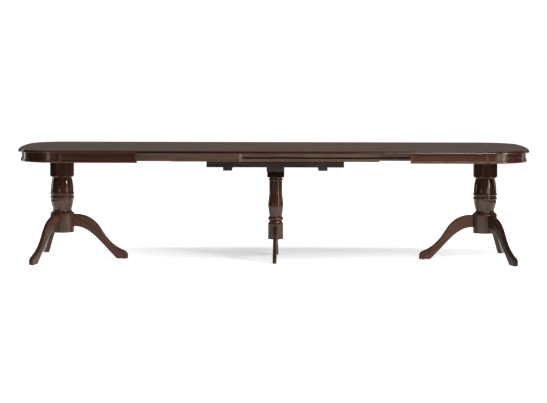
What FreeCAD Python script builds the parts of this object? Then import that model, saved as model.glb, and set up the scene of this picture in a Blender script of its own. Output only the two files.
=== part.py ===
import FreeCAD, Part
import math
import os

V = FreeCAD.Vector
os.makedirs("parts", exist_ok=True)

# Extending dining table, drawn out with its three leaves in. All sizes in mm.
# +X runs along the table, +Y to its back, +Z up; the origin is on the floor at its middle.

# Whole table
table_height = 756.5
table_width = 1010.0
half_length = 806.0
leaf_length = 588.0
seam_gap = 0.5

# Top boards and their moulded edge
top_thickness = 18.0
edge_step = 1.5
edge_round = 13.5
edge_under_round = 2.0
corner_radius = 250.0
end_bow_radius = 2200.0

# Aprons, beads and the blocks behind them
apron_inset = 24.0
apron_thickness = 22.0
apron_height = 62.5
end_apron_length = 304.5
end_strip_width = 14.0
splice_strip_width = 19.0
bead_height = 17.0
bead_proud = 7.0
block_depth = 20.0
block_height = 20.0
block_length = 60.0
splice_length = 120.0
splice_rise = 6.0

# Three-part slides: the left half has the outer runners, the right half the inner ones
runner_thickness = 40.0
runner_height = 58.5
runner_reach = 678.5
runner_side_gap = 79.0
runner_end_gap = 28.0
middle_runner_length = 1357.0
middle_runner_drop = 5.0
middle_runner_gap = 4.0
slide_play = 0.5
left_travel = 83.0
right_travel = 84.0
groove_height = 10.0
groove_depth = 12.0
groove_rise = 20.0
groove_stop = 20.0
end_block_length = 21.0

# Frame carried by the middle runners, standing a little right of the table's middle
centre_shift = 10.0
carrier_length = 898.0
carrier_height = 37.0
batten_width = 58.0
batten_thickness = 22.0
batten_inset = 108.0
beam_width = 114.0
beam_thickness = 28.0

# Pedestals
pedestal_setback = 275.5
board_length = 240.0
board_side_gap = 19.0
board_thickness = 25.0
board_screw_inset = 28.0
cap_flats = 154.0
cap_height = 166.5
cap_round = 22.0
cap_screw_offset = 32.0
column_bottom = 180.5
column_base_radius = 80.5
column_base_height = 120.5
column_shoulder_height = 33.0
column_neck_radius = 62.5
column_vase_radius = 75.5
column_ring_radius = 80.3
column_ring_height = 18.0
column_ring_gap = 9.0
low_vase_share = 0.41

# Pedestal legs
leg_thickness = 32.0
leg_reach = 438.5
leg_root_rise = 37.5
leg_root_height = 84.0
leg_foot_length = 77.0
leg_spread = 112.5
leg_edge_round = 11.0
tenon_thickness = 14.0
tenon_depth = 30.0
tenon_shoulder = 10.0
joint_play = 0.2

# Centre leg
centre_leg_offset = 4.0
centre_leg_turn = -1.5
centre_block = 112.0
centre_block_height = 57.0
centre_collar_drop = 18.0
centre_collar_height = 9.0
centre_collar_radius = 49.1
centre_shaft_radius = 42.6
centre_swell_radius = 51.3
swell_share = 0.29
swell_top_share = 0.68
centre_ring_radius = 51.8
centre_ring_height = 27.0
centre_ring_neck = 4.5
centre_cove_height = 22.5
centre_base_radius = 53.0
centre_base_height = 101.5
centre_bottom = 136.5
centre_foot_thickness = 26.0
centre_foot_reach = 296.0
centre_foot_rise = 9.5
centre_foot_height = 80.0
centre_foot_length = 56.0
centre_foot_round = 8.0
centre_tenon_depth = 20.0
centre_tenon_thickness = 10.0

# Glides, screws and leaf pins
glide_height = 4.0
glide_radius = 11.0
glide_setback = 28.0
nail_radius = 2.0
nail_length = 14.0
screw_radius = 2.75
screw_head_radius = 5.5
screw_head_height = 4.0
screw_tip = 6.0
screw_bite = 12.0
hole_play = 0.1
pin_radius = 4.0
pin_out = 15.0
pin_in = 25.0
pin_rise = 8.0
pin_margin = 125.0
slot_play = 0.4

# Derived places
underside = table_height - top_thickness
seam_x = 1.5 * leaf_length + 2 * seam_gap
end_x = seam_x + half_length
half_width = table_width / 2
apron_bottom = underside - apron_height
splice_x = end_x - end_apron_length
pedestal_x = end_x - pedestal_setback
runner_bottom = underside - runner_height
middle_bottom = runner_bottom - middle_runner_drop
middle_top = underside - middle_runner_gap
groove_z = runner_bottom + groove_rise
carrier_bottom = middle_bottom - carrier_height
batten_bottom = carrier_bottom - batten_thickness
beam_bottom = carrier_bottom - beam_thickness
batten_offset = carrier_length / 2 - batten_inset - batten_width / 2
apron_back = apron_inset + apron_thickness
outer_face = half_width - apron_back - block_depth - runner_side_gap
middle_face = outer_face - runner_thickness - slide_play
inner_face = middle_face - runner_thickness - slide_play
board_width = 2 * (inner_face - runner_thickness - board_side_gap)
column_top = underside - board_thickness
cap_bottom = column_top - cap_height
leg_root_low = column_bottom + leg_root_rise
leg_root_top = leg_root_low + leg_root_height
centre_leg_x = centre_shift + centre_leg_offset
centre_foot_low = centre_bottom + centre_foot_rise
centre_foot_top = centre_foot_low + centre_foot_height
corner_y = half_width - corner_radius
bow_x = end_x - end_bow_radius
corner_x = bow_x + math.sqrt((end_bow_radius - corner_radius) ** 2 - corner_y ** 2)
corner_turn = math.atan2(corner_y, corner_x - bow_x)


def export(node, shape):
    """Write one named piece, or a group of equal pieces, as a STEP file."""
    shape.exportStep("parts/" + node + ".step")


def box(x0, x1, y0, y1, z0, z1):
    return Part.makeBox(x1 - x0, y1 - y0, z1 - z0, V(x0, y0, z0))


def mirror_x(shape):
    return shape.mirror(V(0, 0, 0), V(1, 0, 0))


def mirror_y(shape):
    return shape.mirror(V(0, 0, 0), V(0, 1, 0))


def moved(shape, x, y, z):
    other = shape.copy()
    other.translate(V(x, y, z))
    return other


def half_outline(inset, x_inner):
    """Plan of the right half: straight sides, two corner arcs and a bowed end, set in by inset."""
    side = half_width - inset
    corner = corner_radius - inset
    bow = end_bow_radius - inset
    turn = corner_turn
    middle = (math.pi / 2 + turn) / 2

    def on_corner(angle, sign):
        return V(corner_x + corner * math.cos(angle), sign * (corner_y + corner * math.sin(angle)), 0)

    low_side = Part.LineSegment(V(x_inner, -side, 0), V(corner_x, -side, 0))
    low_corner = Part.Arc(V(corner_x, -side, 0), on_corner(middle, -1), on_corner(turn, -1))
    end = Part.Arc(on_corner(turn, -1), V(bow_x + bow, 0, 0), on_corner(turn, 1))
    high_corner = Part.Arc(on_corner(turn, 1), on_corner(middle, 1), V(corner_x, side, 0))
    high_side = Part.LineSegment(V(corner_x, side, 0), V(x_inner, side, 0))
    close = Part.LineSegment(V(x_inner, side, 0), V(x_inner, -side, 0))
    return Part.Wire([e.toShape() for e in (low_side, low_corner, end, high_corner, high_side, close)])


def end_face(inset, y):
    """X where the plan's right-hand edge, set in by inset, crosses a given y."""
    beyond = abs(y) - corner_y
    if beyond > (corner_radius - inset) * math.sin(corner_turn):
        return corner_x + math.sqrt((corner_radius - inset) ** 2 - beyond ** 2)
    return bow_x + math.sqrt((end_bow_radius - inset) ** 2 - y ** 2)


def inset_of(point):
    """How far a point of the right half lies inside the plan's outer edge."""
    y = abs(point.y)
    if point.x <= corner_x:
        return half_width - y
    if math.atan2(y - corner_y, point.x - corner_x) > corner_turn and y > corner_y:
        return corner_radius - math.hypot(point.x - corner_x, y - corner_y)
    return end_bow_radius - math.hypot(point.x - bow_x, y)


def slab(inset, x_inner, z0, z1):
    face = Part.Face(half_outline(inset, x_inner))
    return moved(face.extrude(V(0, 0, z1 - z0)), 0, 0, z0)


def band(inset0, inset1, x_inner, z0, z1):
    """A strip that follows the plan's edge between two insets."""
    return slab(inset0, x_inner, z0, z1).cut(slab(inset1, x_inner - 1, z0 - 1, z1 + 1))


def rim_edges(shape, inset, z):
    """Level edges of a shape at one inset and one height."""
    found = []
    for edge in shape.Edges:
        mid = edge.valueAt((edge.FirstParameter + edge.LastParameter) / 2)
        level = all(abs(v.Z - z) < 0.01 for v in edge.Vertexes)
        if level and abs(mid.z - z) < 0.01 and abs(inset_of(mid) - inset) < 0.02:
            found.append(edge)
    return found


def spline(points):
    curve = Part.BSplineCurve()
    curve.interpolate(points)
    return curve.toShape()


def turned(edges):
    """Solid of revolution about Z from edges in the XZ plane that start and end on the axis."""
    wire = Part.Wire(edges)
    first = edges[0].valueAt(edges[0].FirstParameter)
    last = edges[-1].valueAt(edges[-1].LastParameter)
    axis = Part.LineSegment(last, first).toShape()
    face = Part.Face(Part.Wire(wire.Edges + [axis]))
    return face.revolve(V(0, 0, 0), V(0, 0, 1), 360)


def line(a, b):
    return Part.LineSegment(V(a[0], 0, a[1]), V(b[0], 0, b[1])).toShape()


def arc(a, m, b):
    return Part.Arc(V(a[0], 0, a[1]), V(m[0], 0, m[1]), V(b[0], 0, b[1])).toShape()


def flow(rz):
    return spline([V(r, 0, z) for r, z in rz])


def screw_solid(length, play):
    """Countersunk wood screw pointing up from its head at the origin; play makes its hole."""
    r = screw_radius + play
    head = screw_head_radius + play
    tip = length + play
    return turned([
        line((0, 0), (head, 0)),
        line((head, 0), (r, screw_head_height)),
        line((r, screw_head_height), (r, tip - screw_tip)),
        line((r, tip - screw_tip), (0, tip)),
    ])


def placed_screws(places, length, play):
    """Screws at (x, y, z, up) places; up is +1 for a screw driven upward and -1 for downward."""
    out = []
    for x, y, z, up in places:
        s = screw_solid(length, play)
        if up < 0:
            s = s.mirror(V(0, 0, 0), V(0, 0, 1))
        out.append(moved(s, x, y, z))
    return out


def cut_all(shape, tools):
    return shape.cut(Part.makeCompound(tools)) if tools else shape


# Top boards

def edge_moulding(lower, raised, top_rims, low_rims):
    """Ovolo under a small step along the edge, with a softened lower arris."""
    lower = lower.makeFillet(edge_round, top_rims(lower))
    lower = lower.makeFillet(edge_under_round, low_rims(lower))
    return lower.fuse(raised).removeSplitter()


def half_top():
    shelf = table_height - edge_step
    lower = slab(0, seam_x, underside, shelf)
    raised = slab(edge_round, seam_x, shelf, table_height)

    def rims(z):
        return lambda shape: rim_edges(shape, 0, z)

    return edge_moulding(lower, raised, rims(shelf), rims(underside))


def leaf(x0, x1):
    shelf = table_height - edge_step
    lower = box(x0, x1, -half_width, half_width, underside, shelf)
    raised = box(x0, x1, -half_width + edge_round, half_width - edge_round, shelf, table_height)

    def rims(z):
        def pick(shape):
            long_edges = [e for e in shape.Edges if e.BoundBox.XLength > (x1 - x0) / 2]
            outer = [e for e in long_edges if abs(abs(e.CenterOfMass.y) - half_width) < 0.01]
            return [e for e in outer if abs(e.CenterOfMass.z - z) < 0.01]
        return pick

    return edge_moulding(lower, raised, rims(shelf), rims(underside))


# Leaf pins lie along X; each sits in a slot that is open on the underside of the next board.
pin_side = half_width - pin_margin
pin_ys = [-pin_side, 0.0, pin_side]
pin_z = underside + pin_rise


def pins(x_edge, out):
    """Pins that stand out of a board edge at x_edge, towards out (+1 or -1)."""
    x_from = x_edge - out * pin_in
    rods = []
    for y in pin_ys:
        rods.append(Part.makeCylinder(pin_radius, pin_in + pin_out, V(x_from, y, pin_z), V(out, 0, 0)))
    return rods


def pin_holes(x_edge, out):
    x_from = x_edge - out * (pin_in + hole_play)
    r = pin_radius + hole_play
    return [Part.makeCylinder(r, pin_in + 1, V(x_from, y, pin_z), V(out, 0, 0)) for y in pin_ys]


def pin_slots(x_edge, into):
    """Slots cut into a board edge at x_edge, running towards into (+1 or -1)."""
    depth = pin_out + slot_play
    reach = sorted((x_edge - into, x_edge + into * depth))
    half = pin_radius + slot_play
    return [box(reach[0], reach[1], y - half, y + half, underside - 1, pin_z + half) for y in pin_ys]


# Pedestal

def foot_holes(places, sole):
    radius = nail_radius + hole_play
    depth = nail_length + hole_play
    return [Part.makeCylinder(radius, depth, V(x, y, sole)) for x, y in places]


def glides(places):
    out = []
    for x, y in places:
        disc = Part.makeCylinder(glide_radius, glide_height, V(x, y, 0))
        nail = Part.makeCylinder(nail_radius, nail_length, V(x, y, glide_height))
        out.append(disc.fuse(nail))
    return out


def chord(radius, width):
    return math.sqrt(radius ** 2 - (width / 2) ** 2)


def scroll_leg(root_r, reach, root_top, root_low, foot_length, thickness, edge, tenon, tenon_wide):
    """Plank leg along +X: an S-curved upper edge, a sloping lower edge, a flat sole and a root tenon."""
    sole = glide_height
    run = reach - root_r
    heel = reach - foot_length - root_r
    rise = root_top - sole
    low = root_low - sole
    upper = [(0.0, 1.0), (0.205, 0.968), (0.309, 0.912), (0.452, 0.758), (0.593, 0.505), (0.701, 0.357)]
    upper += [(0.839, 0.232), (0.931, 0.180)]
    under = [(1.0, 0.0), (0.80, 0.276), (0.62, 0.528), (0.44, 0.757), (0.26, 0.916), (0.0, 1.0)]
    top_line = [(root_r + u * run, sole + v * rise) for u, v in upper]
    low_line = [(root_r + u * heel, sole + v * low) for u, v in under]
    toe = (reach, sole + 0.06 * rise)
    bend = (reach - 0.018 * run, sole + 0.133 * rise)
    edges = [
        flow(top_line),
        arc(top_line[-1], bend, toe),
        line(toe, (reach, sole)),
        line((reach, sole), low_line[0]),
        flow(low_line),
        line(low_line[-1], top_line[0]),
    ]
    face = Part.Face(Part.Wire(edges))
    plank = moved(face.extrude(V(0, thickness, 0)), 0, -thickness / 2, 0)
    rounded = []
    for e in plank.Edges:
        flat = e.BoundBox.YLength < 0.01
        at_root = e.BoundBox.XMax < root_r + 0.01
        at_sole = e.BoundBox.ZMax < sole + 0.01
        if flat and not at_root and not at_sole:
            rounded.append(e)
    plank = plank.makeFillet(edge, rounded)
    half = tenon_wide / 2
    low_end = root_low + tenon_shoulder
    high_end = root_top - tenon_shoulder
    root = box(root_r - tenon, root_r + 1, -half, half, low_end, high_end)
    return plank.fuse(root).removeSplitter()


def leg_housing(root_r, root_top, root_low, thickness, tenon, tenon_wide):
    """What a leg's root takes out of its column: a shallow flat and a mortise for the tenon."""
    p = joint_play
    half = tenon_wide / 2 + p
    wide = thickness / 2 + p
    flat = box(root_r, root_r + tenon, -wide, wide, root_low - p, root_top + p)
    low = root_low + tenon_shoulder - p
    high = root_top - tenon_shoulder + p
    return flat.fuse(box(root_r - tenon - p, root_r + 1, -half, half, low, high))


def turn_to(shape, angle, x, y):
    other = shape.copy()
    other.rotate(V(0, 0, 0), V(0, 0, 1), angle)
    other.translate(V(x, y, 0))
    return other


def ring_edges(z, radius, height, r_below, r_above):
    """Half-round ring between two radii, drawn upward."""
    return arc((r_below, z - height / 2), (radius, z), (r_above, z + height / 2))


def vase(r0, r1, z0, z1, power, steps=7):
    """Points of a turned swelling that leaves r0 at z0 and levels out at r1 at z1."""
    out = []
    for i in range(steps + 1):
        t = i / steps
        out.append((r0 + (r1 - r0) * math.sin(math.pi / 2 * t ** power), z0 + (z1 - z0) * t))
    return out


def column_turning():
    """The pedestal column's turned part, from its foot up into the cap."""
    base = column_base_radius
    neck = column_neck_radius
    ring = column_ring_height
    swell = column_vase_radius
    base_top = column_bottom + column_base_height
    low_neck = base_top + column_shoulder_height
    lip = 0.6 * (base - neck)
    ovolo_top = base_top + 0.38 * column_shoulder_height
    cove = neck + 0.12 * (base - neck)
    cove_z = ovolo_top + 0.4 * (low_neck - ovolo_top)
    ring_band = 2 * ring + column_ring_gap
    band_low = low_neck + low_vase_share * (cap_bottom - low_neck - ring_band)
    low_ring = band_low + ring / 2
    high_ring = low_ring + ring + column_ring_gap
    low_vase = vase(neck, swell, low_neck, band_low, 1.0)
    high_vase = vase(neck, swell, cap_bottom, band_low + ring_band, 0.8)
    high_vase.reverse()
    lip_r = base - lip / 2
    cheek = (base - 0.12 * lip, base_top + 0.6 * (ovolo_top - base_top))
    inside = cap_bottom + cap_round / 2
    return turned([
        line((0, column_bottom), (base, column_bottom)),
        line((base, column_bottom), (base, base_top)),
        arc((base, base_top), cheek, (lip_r, ovolo_top)),
        arc((lip_r, ovolo_top), (cove, cove_z), (neck, low_neck)),
        flow(low_vase),
        ring_edges(low_ring, column_ring_radius, ring, swell, swell),
        line((swell, low_ring + ring / 2), (swell, high_ring - ring / 2)),
        ring_edges(high_ring, column_ring_radius, ring, swell, swell),
        flow(high_vase),
        line((neck, cap_bottom), (neck, inside)),
        line((neck, inside), (0, inside)),
    ])


def cap_block():
    """Octagonal head of the column with a turned lower shoulder."""
    corner = cap_flats / 2 / math.cos(math.pi / 8)
    turns = [math.pi / 8 + k * math.pi / 4 for k in range(9)]
    ring = [V(corner * math.cos(a), corner * math.sin(a), cap_bottom) for a in turns]
    prism = Part.Face(Part.makePolygon(ring)).extrude(V(0, 0, column_top - cap_bottom))
    r = corner + 0.5
    soft = cap_round * (1 - math.sqrt(0.5))
    limit = turned([
        line((0, cap_bottom), (r - cap_round, cap_bottom)),
        arc((r - cap_round, cap_bottom), (r - soft, cap_bottom + soft), (r, cap_bottom + cap_round)),
        line((r, cap_bottom + cap_round), (r, column_top + 1)),
        line((r, column_top + 1), (0, column_top + 1)),
    ])
    return prism.common(limit)


leg_root = chord(column_base_radius, leg_thickness)
pedestal_leg = scroll_leg(leg_root, leg_reach, leg_root_top, leg_root_low, leg_foot_length, leg_thickness,
                          leg_edge_round, tenon_depth, tenon_thickness)
pedestal_housing = leg_housing(leg_root, leg_root_top, leg_root_low, leg_thickness,
                               tenon_depth, tenon_thickness)
leg_angles = {"inner": 180.0, "front": 180.0 + leg_spread, "back": 180.0 - leg_spread}
glide_r = leg_reach - glide_setback

board_low = underside - board_thickness
board_x = board_length / 2 - board_screw_inset
board_y = board_width / 2 - board_screw_inset
pedestal_screw_length = board_thickness + screw_bite
up_places = [(pedestal_x + i * board_x, j * board_y, board_low, 1) for i in (-1, 1) for j in (-1, 1)]
down_places = [(pedestal_x + i * cap_screw_offset, j * cap_screw_offset, underside, -1)
               for i in (-1, 1) for j in (-1, 1)]
pedestal_places = up_places + down_places

runner_screw_length = runner_height + screw_bite
runner_end = end_face(apron_back, outer_face) - runner_end_gap
runner_span = runner_end - seam_x
runner_xs = [seam_x + runner_span * k for k in (0.1, 0.5, 0.9)]
left_runner_y = outer_face - runner_thickness / 2
right_runner_y = inner_face - runner_thickness / 2


def half_pieces():
    """Pieces that both halves share, as they stand on the right half."""
    out = {}
    side_out = half_width - apron_inset
    side_in = half_width - apron_back
    rail_x0 = seam_x + end_strip_width
    rail_x1 = splice_x - splice_strip_width
    apron = box(rail_x0, rail_x1, -side_out, -side_in, apron_bottom, underside)
    out["front_apron"] = apron
    out["back_apron"] = mirror_y(apron)
    out["end_apron"] = band(apron_inset, apron_back, splice_x, apron_bottom, underside)

    # Upright strips close the rail at both ends and stand out as far as the bead, which dies into them.
    strips = []
    for x0, x1 in ((seam_x, rail_x0), (rail_x1, splice_x)):
        strip = box(x0, x1, -side_out - bead_proud, -side_in, apron_bottom, underside)
        strips += [strip, mirror_y(strip)]
    out["apron_end_strips"] = Part.makeCompound(strips)

    bead_top = apron_bottom + bead_height
    proud = apron_inset - bead_proud
    soft = 0.94 * min(bead_proud, bead_height / 2)
    bead = box(rail_x0, rail_x1, -side_out - bead_proud, -side_out, apron_bottom, bead_top)
    nose = [e for e in bead.Edges if abs(e.CenterOfMass.y + side_out + bead_proud) < 0.01
            and e.BoundBox.XLength > 1]
    bead = bead.makeFillet(soft, nose)
    out["front_bead"] = bead
    out["back_bead"] = mirror_y(bead)
    end_bead = band(proud, apron_inset, splice_x, apron_bottom, bead_top)
    rims = rim_edges(end_bead, proud, apron_bottom) + rim_edges(end_bead, proud, bead_top)
    out["end_bead"] = end_bead.makeFillet(soft, rims)

    low = underside - block_height
    tall = band(apron_back, apron_back + block_depth, seam_x, apron_bottom + splice_rise, underside)
    short = band(apron_back, apron_back + block_depth, seam_x, low, underside)
    blocks = []
    splice_x0 = (rail_x1 + splice_x - splice_length) / 2
    for y0, y1 in ((-half_width, 0), (0, half_width)):
        window = box(splice_x0, splice_x0 + splice_length, y0, y1, apron_bottom, underside)
        blocks.append(tall.common(window))
        for k in (0.25, 0.65):
            x = seam_x + k * (rail_x1 - seam_x)
            window = box(x - block_length / 2, x + block_length / 2, y0, y1, low, underside)
            blocks.append(short.common(window))
    window = box(corner_x, end_x, -block_length / 2, block_length / 2, low, underside)
    blocks.append(short.common(window))
    out["apron_blocks"] = Part.makeCompound([s for b in blocks for s in b.Solids])

    board = box(pedestal_x - board_length / 2, pedestal_x + board_length / 2,
                -board_width / 2, board_width / 2, board_low, underside)
    holes = placed_screws(pedestal_places, pedestal_screw_length, hole_play)
    out["mounting_board"] = cut_all(board, holes)
    out["pedestal_screws"] = Part.makeCompound(placed_screws(pedestal_places, pedestal_screw_length, 0))

    column = column_turning().fuse(cap_block()).removeSplitter()
    housings = [turn_to(pedestal_housing, a, 0, 0) for a in leg_angles.values()]
    column = moved(cut_all(column, housings), pedestal_x, 0, 0)
    out["column"] = cut_all(column, placed_screws(down_places, pedestal_screw_length, hole_play))
    spots = []
    for name, angle in leg_angles.items():
        a = math.radians(angle)
        spot = (pedestal_x + glide_r * math.cos(a), glide_r * math.sin(a))
        spots.append(spot)
        leg = turn_to(pedestal_leg, angle, pedestal_x, 0)
        out[name + "_leg"] = cut_all(leg, foot_holes([spot], glide_height))
    out["foot_glides"] = Part.makeCompound(glides(spots))
    out["leaf_pins"] = Part.makeCompound(pins(seam_x, -1))
    return out


def runner_screws(runner_y, play):
    """Screws that hold a half's two runners, at y = -runner_y and runner_y; play makes their holes."""
    places = [(x, s * runner_y, runner_bottom, 1) for x in runner_xs for s in (-1, 1)]
    return placed_screws(places, runner_screw_length, play)


def finished_half_top(runner_y):
    """Right half's top with the holes for its pedestal, runner screws and leaf pins."""
    holes = runner_screws(runner_y, hole_play)
    holes += placed_screws(up_places, pedestal_screw_length, hole_play)
    holes += pin_holes(seam_x, -1)
    return cut_all(half_top(), holes)


def bar(x0, x1, face, thickness, z0, z1):
    """Bar on the table's front side whose outer face lies at y = -face."""
    return box(x0, x1, -face, -face + thickness, z0, z1)


def groove(x0, x1, face):
    half = groove_height / 2
    return box(x0, x1, -face - 1, -face + groove_depth, groove_z - half, groove_z + half)


def tongue(x0, x1, face):
    """Tongue on the inner side of a bar with its outer face at y = -face, for the next bar's groove."""
    y0 = -face + runner_thickness
    half = groove_height / 2 - slide_play
    return box(x0, x1, y0, y0 + groove_depth, groove_z - half, groove_z + half)


# Both halves
shared = half_pieces()

for name, shape in shared.items():
    export("right_" + name, shape)
    export("left_" + name, mirror_x(shape))
export("right_top", finished_half_top(right_runner_y))
export("left_top", mirror_x(finished_half_top(left_runner_y)))
export("right_runner_screws", Part.makeCompound(runner_screws(right_runner_y, 0)))
export("left_runner_screws", mirror_x(Part.makeCompound(runner_screws(left_runner_y, 0))))

# Left half's outer runners, each ending in a pale block
mid_left = centre_shift - middle_runner_length / 2
mid_right = centre_shift + middle_runner_length / 2
middle_groove = mid_left + groove_stop
left_inner = -seam_x + runner_reach
left_end = left_inner - end_block_length
left_runner = bar(-runner_end, left_end, outer_face, runner_thickness, runner_bottom, underside)
left_runner = left_runner.fuse(tongue(middle_groove + left_travel, left_end, outer_face)).removeSplitter()
left_runner = cut_all(left_runner, [mirror_x(hole) for hole in runner_screws(left_runner_y, hole_play)])
export("left_front_runner", left_runner)
export("left_back_runner", mirror_y(left_runner))
end_block = bar(left_end, left_inner, outer_face, runner_thickness, runner_bottom, underside)
export("left_runner_end_blocks", Part.makeCompound([end_block, mirror_y(end_block)]))

# Right half's inner runners, grooved on their outer sides up to a solid stop
right_inner = seam_x - runner_reach
right_groove = right_inner + groove_stop
right_runner = bar(right_inner, runner_end, inner_face, runner_thickness, runner_bottom, underside)
right_runner = right_runner.cut(groove(right_groove, runner_end + 1, inner_face))
right_runner = cut_all(right_runner, runner_screws(right_runner_y, hole_play))
export("right_front_runner", right_runner)
export("right_back_runner", mirror_y(right_runner))

# Leaves: the outer two drop onto the pins of the halves and of the middle leaf
inner_edge = leaf_length / 2
outer_near = inner_edge + seam_gap
outer_far = outer_near + leaf_length
right_leaf = cut_all(leaf(outer_near, outer_far), pin_slots(outer_near, 1) + pin_slots(outer_far, -1))
export("right_leaf", right_leaf)
export("left_leaf", mirror_x(right_leaf))
middle_leaf = cut_all(leaf(-inner_edge, inner_edge), pin_holes(inner_edge, 1) + pin_holes(-inner_edge, -1))
export("middle_leaf", middle_leaf)
export("middle_leaf_pins", Part.makeCompound(pins(inner_edge, 1) + pins(-inner_edge, -1)))

# Centre frame: middle runners on two carriers, two cross battens and a cross beam
carrier_y = middle_face - runner_thickness / 2
carrier_screw_length = carrier_height + screw_bite
cross_screw_length = beam_thickness + screw_bite
screw_step = batten_width / 2 + batten_inset / 2
carrier_xs = [centre_shift + k * (batten_offset + d * screw_step) for k in (-1, 1) for d in (-1, 1)]
carrier_places = [(x, s * carrier_y, carrier_bottom, 1) for x in carrier_xs for s in (-1, 1)]
batten_places = [(centre_shift + k * batten_offset + d * batten_width / 4, s * carrier_y, batten_bottom, 1)
                 for k in (-1, 1) for d in (-1, 1) for s in (-1, 1)]
beam_places = [(centre_shift + d * beam_width / 4, s * carrier_y, beam_bottom, 1)
               for d in (-1, 1) for s in (-1, 1)]
turn_x = math.cos(math.radians(centre_leg_turn)) * centre_block / 4
turn_y = math.sin(math.radians(centre_leg_turn)) * centre_block / 4
block_places = [(centre_leg_x + d * turn_x - e * turn_y, d * turn_y + e * turn_x, carrier_bottom, -1)
                for d in (-1, 1) for e in (-1, 1)]

middle_runner = bar(mid_left, mid_right, middle_face, runner_thickness, middle_bottom, middle_top)
middle_runner = middle_runner.cut(groove(middle_groove, mid_right + 1, middle_face))
mid_tongue = tongue(right_groove + right_travel, mid_right, middle_face)
middle_runner = middle_runner.fuse(mid_tongue).removeSplitter()
carrier_holes = placed_screws(carrier_places, carrier_screw_length, hole_play)
batten_holes = placed_screws(batten_places, cross_screw_length, hole_play)
beam_holes = placed_screws(beam_places, cross_screw_length, hole_play)
block_holes = placed_screws(block_places, cross_screw_length, hole_play)
middle_runner = cut_all(middle_runner, carrier_holes)
export("front_middle_runner", middle_runner)
export("back_middle_runner", mirror_y(middle_runner))

carrier = bar(centre_shift - carrier_length / 2, centre_shift + carrier_length / 2, middle_face,
              runner_thickness, carrier_bottom, middle_bottom)
carrier = cut_all(carrier, carrier_holes + batten_holes + beam_holes)
export("front_carrier", carrier)
export("back_carrier", mirror_y(carrier))


def cross_bar(x, width, z0):
    return box(x - width / 2, x + width / 2, -middle_face, middle_face, z0, carrier_bottom)


for name, sign in (("left_batten", -1), ("right_batten", 1)):
    batten = cross_bar(centre_shift + sign * batten_offset, batten_width, batten_bottom)
    export(name, cut_all(batten, batten_holes))
beam = cross_bar(centre_shift, beam_width, beam_bottom)
export("centre_beam", cut_all(beam, beam_holes + block_holes))
export("carrier_screws", Part.makeCompound(placed_screws(carrier_places, carrier_screw_length, 0)))
export("cross_screws",
       Part.makeCompound(placed_screws(batten_places + beam_places + block_places, cross_screw_length, 0)))

# Centre leg: a square-headed turned column on two feet


def centre_turning():
    """The centre column below its square head."""
    base = centre_base_radius
    shaft = centre_shaft_radius
    block_low = beam_bottom - centre_block_height
    collar = block_low - centre_collar_drop
    collar_low = collar - centre_collar_height / 2
    collar_high = collar + centre_collar_height / 2
    base_top = centre_bottom + centre_base_height
    ring_low = base_top + centre_cove_height
    ring_high = ring_low + centre_ring_height
    low_neck = ring_high + centre_ring_neck
    swell = low_neck + swell_share * (collar_low - low_neck)
    swell_top = low_neck + swell_top_share * (collar_low - low_neck)
    upper = vase(shaft, centre_swell_radius, swell_top, swell, 1.5)
    upper.reverse()
    lower = vase(shaft, centre_swell_radius, low_neck, swell, 1.0)
    ring = (ring_low + ring_high) / 2
    cove = (shaft + 0.3 * (base - shaft), base_top + 0.45 * centre_cove_height)
    inside = block_low + centre_block_height / 2
    return turned([
        line((0, centre_bottom), (base, centre_bottom)),
        line((base, centre_bottom), (base, base_top)),
        arc((base, base_top), cove, (shaft, ring_low)),
        ring_edges(ring, centre_ring_radius, centre_ring_height, shaft, shaft),
        line((shaft, ring_high), (shaft, low_neck)),
        flow(lower + upper[1:]),
        line((shaft, swell_top), (shaft, collar_low)),
        ring_edges(collar, centre_collar_radius, centre_collar_height, shaft, shaft),
        line((shaft, collar_high), (shaft, inside)),
        line((shaft, inside), (0, inside)),
    ])


centre_root = chord(centre_base_radius, centre_foot_thickness)
centre_foot = scroll_leg(centre_root, centre_foot_reach, centre_foot_top, centre_foot_low, centre_foot_length,
                         centre_foot_thickness, centre_foot_round, centre_tenon_depth, centre_tenon_thickness)
centre_housing = leg_housing(centre_root, centre_foot_top, centre_foot_low, centre_foot_thickness,
                             centre_tenon_depth, centre_tenon_thickness)
head = box(-centre_block / 2, centre_block / 2, -centre_block / 2, centre_block / 2,
           beam_bottom - centre_block_height, beam_bottom)
centre_column = centre_turning().fuse(head).removeSplitter()
centre_column = cut_all(centre_column, [turn_to(centre_housing, a, 0, 0) for a in (-90, 90)])
centre_column = turn_to(centre_column, centre_leg_turn, centre_leg_x, 0)
export("centre_column", cut_all(centre_column, block_holes))
centre_spots = []
for name, angle in (("front", centre_leg_turn - 90), ("back", centre_leg_turn + 90)):
    a = math.radians(angle)
    out = centre_foot_reach - glide_setback
    spot = (centre_leg_x + out * math.cos(a), out * math.sin(a))
    centre_spots.append(spot)
    foot = turn_to(centre_foot, angle, centre_leg_x, 0)
    export("centre_" + name + "_foot", cut_all(foot, foot_holes([spot], glide_height)))
export("centre_foot_glides", Part.makeCompound(glides(centre_spots)))
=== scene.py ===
import math
from collections import namedtuple

import bpy
import numpy as np
from mathutils import Matrix, Vector


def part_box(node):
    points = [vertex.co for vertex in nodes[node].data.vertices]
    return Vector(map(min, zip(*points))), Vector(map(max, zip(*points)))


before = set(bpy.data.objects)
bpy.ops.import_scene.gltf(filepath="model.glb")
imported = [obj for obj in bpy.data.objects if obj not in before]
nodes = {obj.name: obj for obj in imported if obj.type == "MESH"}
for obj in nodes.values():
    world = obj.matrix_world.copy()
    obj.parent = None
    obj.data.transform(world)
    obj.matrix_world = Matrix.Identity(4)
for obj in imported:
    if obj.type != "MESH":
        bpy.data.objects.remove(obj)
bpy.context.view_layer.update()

# An extending dining table on two turned pedestals and a slimmer centre leg, drawn out, with three leaves in.
# Every solid of the frame is shown as it is. The finishes, the floor, the lamps and the camera are made here.
# Lengths are in metres where a name doesn't say mm.

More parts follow.
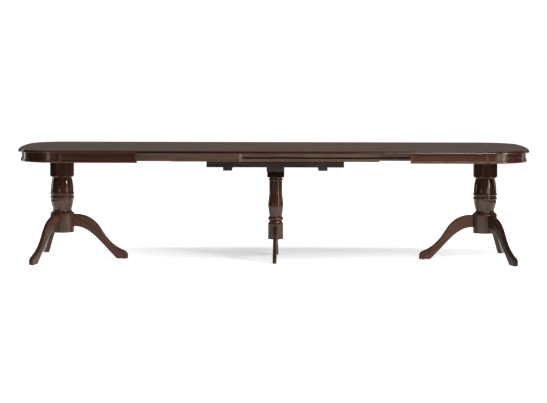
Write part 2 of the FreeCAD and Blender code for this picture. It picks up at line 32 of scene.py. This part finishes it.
MM = 0.001
WHITE = "#ffffff"

# The camera, fitted to the feet, the seams and the ends of the top
IMAGE_WIDTH_PX = 547
FOCAL_PX = 2026
SENSOR_MM = 36
CAMERA_PLACE = (-0.0009, -13.5, 1.587)
CAMERA_PITCH_DEG = 84.92
CAMERA_ROLL_DEG = 0.14
FARTHEST_SEEN = 200

# How the grain lies: a turn that brings X along the fibres of the piece
ALONG_TABLE = (0, 0, 0)
ACROSS_TABLE = (0, 0, math.radians(90))
UPRIGHT = (0, math.radians(-90), 0)
LEG_FALL_DEG = 32
FOOT_FALL_DEG = 12

# Bands of painted shade, darker than the rest of their piece: the middle and half width in height, and then in depth
# from the table's middle line. They lie on the long edges of the leaves, in the grooves of the runners, behind the
# lip of the groove, and on the square block that heads the centre leg.
LEAF_EDGE_SHADE = (0.7425, 0.0135, 0.506, 0.004)
GROOVE_SHADE_HEIGHT = (0.700, 0.0052)
GROOVE_LIP = 1 * MM
HEAD_BLOCK_SHADE = 0.057
ANY_DEPTH = (0, 1)

# How far apart in the wood the pieces are cut, so that no two share their figure
CUT_STEP = (0.37, 0.193, 0.127)
# How much the fibres streak the stain, and how large and how strong its clouds are
STREAKS = 0.3
CLOUD_MM = 140
CLOUDS = 0.25
# The warm tint of the light that wax and lacquer throw back
WARM_SHEEN = "#ffefe2"


def linear(code):
    """Linear RGBA of an sRGB hex colour."""
    parts = [int(code[i:i + 2], 16) / 255 for i in (1, 3, 5)]
    return [p / 12.92 if p <= 0.04045 else ((p + 0.055) / 1.055) ** 2.4 for p in parts] + [1]


def add(tree, kind, links, stops=(), **settings):
    """A shader node with its settings. links gives an input, by name or number, a value or another node's output,
    and stops are the places and sRGB colours of a ramp."""
    made = tree.nodes.new("ShaderNode" + kind)
    for key, value in settings.items():
        setattr(made, key, value)
    for key, value in links.items():
        if isinstance(value, bpy.types.NodeSocket):
            tree.links.new(value, made.inputs[key])
        else:
            made.inputs[key].default_value = value
    for i, (place, code) in enumerate(stops):
        stop = made.color_ramp.elements[0] if i == 0 else made.color_ramp.elements.new(place)
        if i == 0:
            made.color_ramp.elements.remove(made.color_ramp.elements[1])
            stop.position = place
        stop.color = linear(code)
    return made


def new_material(name):
    """An empty material, its node tree and the output that the shader goes to. Where it glows, it lights
    nothing."""
    material = bpy.data.materials.new(name)
    material.use_nodes = True
    material.cycles.emission_sampling = "NONE"
    material.node_tree.nodes.clear()
    return material, material.node_tree, material.node_tree.nodes.new("ShaderNodeOutputMaterial")


def wood(name, tones, lie, cut, finish, painted_shade_band=None):
    """A wood finish. Two noises are stretched along the grain: the figure, which picks the tone of the stain, and
    the fibre, which streaks it and gives the surface its fine relief. A third, round noise makes the stain cloudy.
    lie is the turn of the grain, cut the number of the piece, and the last argument a band of painted shade that
    takes the first tone."""
    material, tree, output = new_material(name)
    place = add(tree, "TexCoord", {}).outputs["Object"]
    start = tuple(step * cut for step in CUT_STEP)
    grain = []
    for (length, width), detail in ((finish.figure_mm, 4), (finish.fibre_mm, 2)):
        turned = add(tree, "Mapping", {"Vector": place, "Location": start, "Rotation": lie},
                     vector_type="TEXTURE").outputs["Vector"]
        scaled = add(tree, "Mapping", {"Vector": turned, "Scale": (length * MM, width * MM, width * MM)},
                     vector_type="TEXTURE").outputs["Vector"]
        grain.append(add(tree, "TexNoise", {"Vector": scaled, "Scale": 1, "Detail": detail, "Roughness": 0.6,
                                            "Distortion": 0.35}).outputs["Fac"])
    figure, fibre = grain
    cloud = add(tree, "TexNoise", {"Vector": place, "Scale": 1 / (CLOUD_MM * MM), "Detail": 2}).outputs["Fac"]
    streak = add(tree, "Math", {0: fibre, 1: STREAKS, 2: -STREAKS / 2}, operation="MULTIPLY_ADD").outputs[0]
    streaked = add(tree, "Math", {0: figure, 1: streak}, operation="ADD").outputs[0]
    stain = add(tree, "Math", {0: cloud, 1: CLOUDS, 2: streaked}, operation="MULTIPLY_ADD").outputs[0]
    # Painted shade: inside the band the stain is pushed down to the ramp's first, darkest tone.
    if painted_shade_band:
        height, half_height, depth, half_depth = painted_shade_band
        spot = add(tree, "SeparateXYZ", {0: place}).outputs
        off_middle = add(tree, "Math", {0: spot["Y"]}, operation="ABSOLUTE").outputs[0]
        in_height = add(tree, "Math", {0: spot["Z"], 1: height, 2: half_height}, operation="COMPARE").outputs[0]
        in_depth = add(tree, "Math", {0: off_middle, 1: depth, 2: half_depth}, operation="COMPARE").outputs[0]
        inside = add(tree, "Math", {0: in_height, 1: in_depth}, operation="MULTIPLY").outputs[0]
        stain = add(tree, "Math", {0: inside, 1: -1, 2: stain}, operation="MULTIPLY_ADD").outputs[0]
    tone = add(tree, "ValToRGB", {"Fac": stain}, stops=tones).outputs["Color"]
    smooth, rough = finish.roughness
    sheen = add(tree, "MapRange", {"Value": fibre, "From Min": 0.3, "From Max": 0.7,
                                   "To Min": smooth, "To Max": rough}).outputs["Result"]
    normal = add(tree, "Bevel", {"Radius": finish.arris_mm * MM}, samples=4).outputs["Normal"]
    if finish.relief_mm:
        normal = add(tree, "Bump", {"Height": fibre, "Strength": 1, "Distance": finish.relief_mm * MM,
                                    "Normal": normal}).outputs["Normal"]
    shader = add(tree, "BsdfPrincipled", {"Base Color": tone, "Roughness": sheen, "IOR": 1.5, "Normal": normal,
                                          "Specular IOR Level": finish.shine,
                                          "Specular Tint": linear(WARM_SHEEN)})
    tree.links.new(shader.outputs["BSDF"], output.inputs["Surface"])
    return material


def speckled(name, speck_mm, detail, tones, roughness, look):
    """A finish with a fine round speckle, which sets its tone and its gloss. look is what else the shader takes."""
    material, tree, output = new_material(name)
    place = add(tree, "TexCoord", {}).outputs["Object"]
    speckle = add(tree, "TexNoise", {"Vector": place, "Scale": 1 / (speck_mm * MM), "Detail": detail}).outputs["Fac"]
    tone = add(tree, "ValToRGB", {"Fac": speckle}, stops=tones).outputs["Color"]
    smooth, rough = roughness
    gloss = add(tree, "MapRange", {"Value": speckle, "To Min": smooth, "To Max": rough}).outputs["Result"]
    shader = add(tree, "BsdfPrincipled", {"Base Color": tone, "Roughness": gloss, **look})
    tree.links.new(shader.outputs["BSDF"], output.inputs["Surface"])
    return material


def dress(node, material):
    """Puts a finish on a solid of the frame."""
    nodes[node].data.materials.clear()
    nodes[node].data.materials.append(material)


def lacquered(node, cut, lie, tones, finish, painted_shade_band=None):
    """Dresses a piece in close-grained hardwood, stained dark and sprayed with semi-gloss lacquer: soft dark
    streaks under an even sheen."""
    dress(node, wood("stained_hardwood_lacquered_" + node, tones, lie, cut, finish, painted_shade_band))


def leg_lie(node, column, fall_deg):
    """The turn of a leg's grain: out from its column's axis and down along the plank."""
    low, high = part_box(column)
    axis = (low + high) / 2
    low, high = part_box(node)
    out = (low + high) / 2 - axis
    turn = Matrix.Rotation(math.atan2(out.y, out.x), 3, "Z") @ Matrix.Rotation(math.radians(fall_deg), 3, "Y")
    return tuple(turn.to_euler())


# The tones of each wood, from its darkest streaks to its lightest.
# Scroll legs: the lightest of the stained pieces, a warm reddish brown
LEG_STAIN = [(0.30, "#372017"), (0.52, "#432a1f"), (0.66, "#4b3024"), (0.85, "#56382a")]
# Turned columns: a shade darker, with a first tone, nearly black, that paints shade on the block that heads the
# centre leg
COLUMN_STAIN_AND_HEAD_SHADE = [(0.00, "#1e120d"), (0.30, "#2f1b13"), (0.52, "#3a241a"), (0.66, "#42291e"), (0.85, "#4c3125")]
# The right column and its front leg: a darker copy of the column stain, which paints shade on them
SHADED_PEDESTAL_STAIN = [(0.30, "#271510"), (0.52, "#301c15"), (0.66, "#37221a"), (0.85, "#3f281e")]
# Strips that close the ends of the aprons: upright grain, lighter than the rails, so that the seams show
STRIP_STAIN = [(0.30, "#3c251c"), (0.52, "#4a2f24"), (0.66, "#53372b"), (0.85, "#5e4032")]
# Apron rails, beads and the feet of the centre leg: dark and redder
RAIL_STAIN = [(0.30, "#2e1913"), (0.52, "#382119"), (0.66, "#41281f"), (0.85, "#4a3024")]
# Tops and leaves: the same, with a first tone, nearly black, that paints shade on the long edges of the leaves
BOARD_STAIN_AND_EDGE_SHADE = [(0.00, "#1c0f0b")] + RAIL_STAIN
# Slide runners: waxed hardwood, a dull greyish brown, with a first tone, nearly black, that paints shade in the
# grooves
RUNNER_WAX_AND_GROOVE_SHADE = [(0.00, "#0d0907"), (0.30, "#453529"), (0.52, "#5b473b"), (0.66, "#695346"), (0.80, "#786152")]
# Carriers, battens and beam of the centre frame: stained nearly black and left dull, so that they keep to the shade
FRAME_STAIN = [(0.30, "#191413"), (0.52, "#2a2321"), (0.66, "#332b27"), (0.80, "#3a322d")]
# Blocks on the ends of the left runners: bare end grain, the palest wood in view
END_GRAIN = [(0.30, "#644f46"), (0.52, "#7e685f"), (0.66, "#8c7569"), (0.80, "#9a8375")]
# Blocks and boards behind the aprons: planed softwood, a bare yellowish brown
SOFTWOOD = [(0.30, "#8a6b47"), (0.52, "#b08d62"), (0.66, "#c09d72"), (0.80, "#cfae84")]
# Dowel pins: bare beech, a pale pinkish brown
BEECH = [(0.30, "#a77f59"), (0.52, "#c39b72"), (0.66, "#cfa981"), (0.80, "#dab993")]

# How each kind of piece is worked and finished: the length and width of the figure and of the fibres, the least and
# most roughness, the rounding of the arrises, the depth of the fibres' relief and the strength of the sheen. Real
# fibres are a few tenths of a millimetre wide, too fine to show, so they are drawn 2 mm wide and more.
Finish = namedtuple("Finish", "figure_mm fibre_mm roughness arris_mm relief_mm shine")
BOARD = Finish((900, 60), (160, 9), (0.20, 0.24), 1.2, 0, 0.6)
RAIL = Finish((520, 17), (80, 3), (0.20, 0.24), 1.2, 0.004, 0.55)
LEG = RAIL._replace(shine=0.27)
SHADED_LEG = RAIL._replace(shine=0.15)
COLUMN = Finish((520, 40), (80, 6), (0.12, 0.15), 3.0, 0, 0.5)
CENTRE_COLUMN = COLUMN._replace(shine=0.45)
RUNNER = Finish((600, 30), (90, 5), (0.45, 0.6), 1.0, 0.05, 0.25)
FRAME_BAR = Finish((500, 14), (90, 3), (0.5, 0.65), 1.0, 0.05, 0.12)
END_BLOCK = Finish((30, 5), (20, 2), (0.6, 0.75), 0.8, 0.05, 0.5)
HIDDEN_BLOCK = Finish((500, 11), (90, 3), (0.6, 0.75), 1.0, 0.05, 0.5)
PIN = Finish((60, 4), (20, 2), (0.5, 0.6), 0.5, 0.02, 0.5)

cut = 0
for board in ("left_top", "left_leaf", "middle_leaf", "right_leaf", "right_top"):
    cut += 1
    # The leaves' long edges take painted shade: the band goes to the first, nearly black tone.
    band = LEAF_EDGE_SHADE if board.endswith("leaf") else None
    lacquered(board, cut, ALONG_TABLE, BOARD_STAIN_AND_EDGE_SHADE, BOARD, band)
for side in ("left", "right"):
    for rail in ("front_apron", "back_apron", "end_apron", "front_bead", "back_bead", "end_bead"):
        cut += 1
        lacquered(f"{side}_{rail}", cut, ALONG_TABLE, RAIL_STAIN, RAIL)
    cut += 1
    lacquered(f"{side}_apron_end_strips", cut, UPRIGHT, STRIP_STAIN, RAIL)
    cut += 1
    column = f"{side}_column"
    # The right column takes the darker copy of the column stain, painted shade.
    lacquered(column, cut, UPRIGHT, SHADED_PEDESTAL_STAIN if side == "right" else COLUMN_STAIN_AND_HEAD_SHADE, COLUMN)
    for leg in (f"{side}_inner_leg", f"{side}_front_leg", f"{side}_back_leg"):
        cut += 1
        # The right front leg takes the same painted shade, and a weaker sheen.
        tones, finish = (SHADED_PEDESTAL_STAIN, SHADED_LEG) if leg == "right_front_leg" else (LEG_STAIN, LEG)
        lacquered(leg, cut, leg_lie(leg, column, LEG_FALL_DEG), tones, finish)
cut += 1
low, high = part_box("centre_column")
# Painted shade on the square head block: the top band of the centre leg takes the first, nearly black tone.
lacquered("centre_column", cut, UPRIGHT, COLUMN_STAIN_AND_HEAD_SHADE, CENTRE_COLUMN, (high.z, HEAD_BLOCK_SHADE) + ANY_DEPTH)
for foot, further_on in (("centre_front_foot", 1), ("centre_back_foot", 2)):
    cut += further_on
    lacquered(foot, cut, leg_lie(foot, "centre_column", FOOT_FALL_DEG), RAIL_STAIN, LEG)

for node in nodes:
    if node.endswith("_runner"):
        cut += 1
        low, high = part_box(node)
        # Painted shade in the groove: a band at the groove's height, from the lip in to the middle line, takes the
        # first, nearly black tone.
        half_depth = (max(-low.y, high.y) - GROOVE_LIP) / 2
        groove = GROOVE_SHADE_HEIGHT + (half_depth, half_depth)
        dress(node, wood("waxed_hardwood_" + node, RUNNER_WAX_AND_GROOVE_SHADE, ALONG_TABLE, cut, RUNNER, groove))
along = wood("stained_frame_wood_along", FRAME_STAIN, ALONG_TABLE, 2, FRAME_BAR)
across = wood("stained_frame_wood_across", FRAME_STAIN, ACROSS_TABLE, 3, FRAME_BAR)
end_grain = wood("bare_end_grain", END_GRAIN, ALONG_TABLE, 4, END_BLOCK)
softwood = wood("planed_softwood", SOFTWOOD, ACROSS_TABLE, 5, HIDDEN_BLOCK)
beech = wood("beech_dowel", BEECH, ALONG_TABLE, 6, PIN)
# Zinc-plated wood screws: a pale grey metal, a little uneven
zinc = speckled("zinc_plated_steel", 2, 3, [(0.3, "#8d8c86"), (0.7, "#b9b8b1")], (0.25, 0.45), {"Metallic": 1})
# Moulded nylon glides: dull dark brown, scuffed by the floor
nylon = speckled("moulded_nylon", 3, 4, [(0.35, "#2a2320"), (0.7, "#463d38")], (0.4, 0.65), {"IOR": 1.53})
SHARED_FINISHES = {
    "_carrier": along, "_batten": across, "_beam": across, "_runner_end_blocks": end_grain,
    "_apron_blocks": softwood, "_mounting_board": softwood, "_pins": beech, "_screws": zinc, "_glides": nylon,
}
for node in nodes:
    for ending, material in SHARED_FINISHES.items():
        if node.endswith(ending):
            dress(node, material)


def stage_mesh(name, points, faces, material):
    """A piece of the studio."""
    mesh = bpy.data.meshes.new(name)
    mesh.from_pydata([tuple(p) for p in points], [], faces)
    mesh.materials.append(material)
    made = bpy.data.objects.new(name, mesh)
    bpy.context.scene.collection.objects.link(made)
    return made


def background_ray(tree):
    """1 for the rays that show the white ground: camera, glossy and transmission rays."""
    path = add(tree, "LightPath", {}).outputs
    shown = add(tree, "Math", {0: path["Is Camera Ray"], 1: path["Is Glossy Ray"]}, operation="MAXIMUM").outputs[0]
    return add(tree, "Math", {0: shown, 1: path["Is Transmission Ray"]}, operation="MAXIMUM").outputs[0]


def studio_floor():
    """Matt white paper. Its own light makes it white far away and, in an oval round the table, leaves room for the
    shadow."""
    half_side = 60
    oval_middle = (0.05, 0.45, 0)
    oval_stretch = (1.9, 1, 1)
    material, tree, output = new_material("matt_white_paper")
    place = add(tree, "TexCoord", {}).outputs["Object"]
    oval = add(tree, "Mapping", {"Vector": place, "Location": oval_middle, "Scale": oval_stretch},
               vector_type="TEXTURE").outputs["Vector"]
    far = add(tree, "VectorMath", {0: oval}, operation="LENGTH").outputs["Value"]
    glow = add(tree, "MapRange", {"Value": far, "From Min": 0.1, "From Max": 1.3, "To Min": 0.33, "To Max": 1.0},
               interpolation_type="SMOOTHSTEP").outputs["Result"]
    seen = add(tree, "Math", {0: glow, 1: background_ray(tree)}, operation="MULTIPLY").outputs[0]
    paint = add(tree, "BsdfDiffuse", {"Color": linear("#e6e6e6")}).outputs["BSDF"]
    light = add(tree, "Emission", {"Color": linear(WHITE), "Strength": seen}).outputs["Emission"]
    both = add(tree, "AddShader", {0: paint, 1: light}).outputs["Shader"]
    tree.links.new(both, output.inputs["Surface"])
    corners = [(-half_side, -half_side, 0), (half_side, -half_side, 0), (half_side, half_side, 0),
               (-half_side, half_side, 0)]
    return stage_mesh("floor", corners, [(0, 1, 2, 3)], material)


def studio_walls():
    """The dark studio round the paper, which only the lacquer's sheen sees. The wall behind the table glows a dim
    grey, painted light that stands in for a lit wall. A profile of points (r, z) runs out over the floor, up the
    wall and in under the ceiling, and is carried round an ellipse: (x, y, z) = (1.15 r cos t, r sin t, z), with t
    from 0 to a full turn."""
    profile = np.array([(3.1, 0.003), (7.0, 0.003), (7.0, 5.0), (5.0, 7.0), (0.01, 7.6)])
    stretch = 1.15
    steps = 96
    material, tree, output = new_material("dark_studio_wall")
    place = add(tree, "TexCoord", {}).outputs["Object"]
    depth = add(tree, "SeparateXYZ", {0: place}).outputs["Y"]
    back = add(tree, "MapRange", {"Value": depth, "From Min": 1, "From Max": 5, "To Min": 0, "To Max": 1})
    # Painted light: the wall glows, nearly black in front and grey behind the table.
    tone = add(tree, "ValToRGB", {"Fac": back.outputs["Result"]}, stops=[(0, "#0c0a09"), (1, "#706965")])
    grey = add(tree, "Emission", {"Color": tone.outputs["Color"], "Strength": 1}).outputs["Emission"]
    tree.links.new(grey, output.inputs["Surface"])
    turn = np.linspace(0, 2 * math.pi, steps, endpoint=False)
    x = stretch * np.outer(np.cos(turn), profile[:, 0])
    y = np.outer(np.sin(turn), profile[:, 0])
    z = np.broadcast_to(profile[:, 1], x.shape)
    points = np.stack([x, y, z], 2).reshape(-1, 3)
    count, rows = x.shape
    faces = [(rows * i + j, rows * ((i + 1) % count) + j, rows * ((i + 1) % count) + j + 1, rows * i + j + 1)
             for i in range(count) for j in range(rows - 1)]
    walls = stage_mesh("studio_walls", points, faces, material)
    walls.visible_camera = False
    walls.visible_diffuse = False
    walls.visible_shadow = False
    return walls


def white_world():
    """White behind everything, and a soft even fill for the object."""
    world = bpy.data.worlds.new("studio")
    bpy.context.scene.world = world
    world.use_nodes = True
    tree = world.node_tree
    tree.nodes.clear()
    output = tree.nodes.new("ShaderNodeOutputWorld")
    fill = add(tree, "Background", {"Color": linear(WHITE), "Strength": 0.12}).outputs["Background"]
    ground = add(tree, "Background", {"Color": linear(WHITE), "Strength": 1}).outputs["Background"]
    mixed = add(tree, "MixShader", {0: background_ray(tree), 1: fill, 2: ground}).outputs["Shader"]
    tree.links.new(mixed, output.inputs["Surface"])


def softbox(name, place, target, size, watts, spread_deg, reflected):
    """A soft rectangular lamp, with a grid before it where its light is to stay within a narrower spread."""
    data = bpy.data.lights.new(name, "AREA")
    data.shape = "RECTANGLE"
    data.size, data.size_y = size
    data.energy = watts
    data.spread = math.radians(spread_deg)
    lamp = bpy.data.objects.new(name, data)
    lamp.location = place
    lamp.rotation_euler = (Vector(target) - Vector(place)).to_track_quat("-Z", "Y").to_euler()
    lamp.visible_camera = False
    lamp.visible_glossy = reflected
    bpy.context.scene.collection.objects.link(lamp)
    return lamp


def camera():
    """The photograph's view, on its own frame."""
    data = bpy.data.cameras.new("camera")
    data.sensor_width = SENSOR_MM
    data.lens = FOCAL_PX * SENSOR_MM / IMAGE_WIDTH_PX
    data.clip_end = FARTHEST_SEEN
    made = bpy.data.objects.new("camera", data)
    pitch = Matrix.Rotation(math.radians(CAMERA_PITCH_DEG), 4, "X")
    roll = Matrix.Rotation(math.radians(CAMERA_ROLL_DEG), 4, "Z")
    made.matrix_world = Matrix.Translation(CAMERA_PLACE) @ (pitch @ roll)
    bpy.context.scene.collection.objects.link(made)
    bpy.context.scene.camera = made


# The lamps: place, aim, width and height, watts, spread in degrees, and whether the lacquer mirrors them. The
# softboxes give the even light. The gridded lamps pick out the pedestals, the runners and the ends of the top. The
# strips stand low or behind, and are seen as the narrow highlights on the turnings and the bent rails.
OPEN = 180
GRID = 52
LAMPS = (
    ("overhead_softbox", (0.1, -0.5, 4.5), (0.1, -0.3, 0), (2.6, 0.8), 84, OPEN, False),
    ("back_softbox", (0.5, 4.5, 2.6), (0, 0, 0.5), (3.0, 1.5), 80, OPEN, False),
    ("front_right_softbox", (1.7, -4.5, 3.05), (1.0, 0, 0.5), (1.0, 1.6), 29, 120, True),
    ("high_grid", (1.5, -3.2, 3.2), (1.5, 0, 0.5), (0.9, 0.7), 1.6, GRID, True),
    ("low_grid_on_left_pedestal", (3.6, -3.2, 0.4), (-1.4, 0, 0.25), (0.7, 0.7), 7, GRID, False),
    ("high_grid_on_left_pedestal", (3.6, -3.2, 2.4), (-1.4, 0, 0.25), (0.7, 1.2), 16, GRID, True),
    ("low_middle_grid", (0.8, -3.2, 0.4), (0.7, 0, 0.6), (0.7, 0.7), 1.2, GRID, False),
    ("right_grid", (4.0, -3.2, 1.2), (1.65, 0, 0.75), (0.7, 0.7), 2.0, GRID, True),
    ("left_grid", (-2.4, -3.2, 2.2), (-2.4, 0, 0.5), (0.7, 0.7), 1.5, GRID, True),
    ("right_front_strip", (3.6, -3.2, 0.4), (0.4, 0, 0.4), (0.7, 0.75), 10, OPEN, True),
    ("right_apron_strip", (2.45, -3.2, 0.5), (1.0, 0, 0.5), (0.5, 0.4), 3.5, OPEN, True),
    ("left_front_strip", (-3.05, -4.4, 0.4), (-1.2, 0, 0.4), (0.5, 0.6), 5, OPEN, True),
    ("left_back_strip", (-4.2, 1.6, 1.2), (-1.4, 0, 0.5), (0.4, 1.8), 14, OPEN, True),
    ("right_back_strip", (4.2, 1.6, 1.2), (1.4, 0, 0.5), (0.4, 1.8), 6, OPEN, True),
)

studio_floor()
studio_walls()
white_world()
for lamp in LAMPS:
    softbox(*lamp)
camera()
bpy.context.scene.view_settings.view_transform = "Standard"
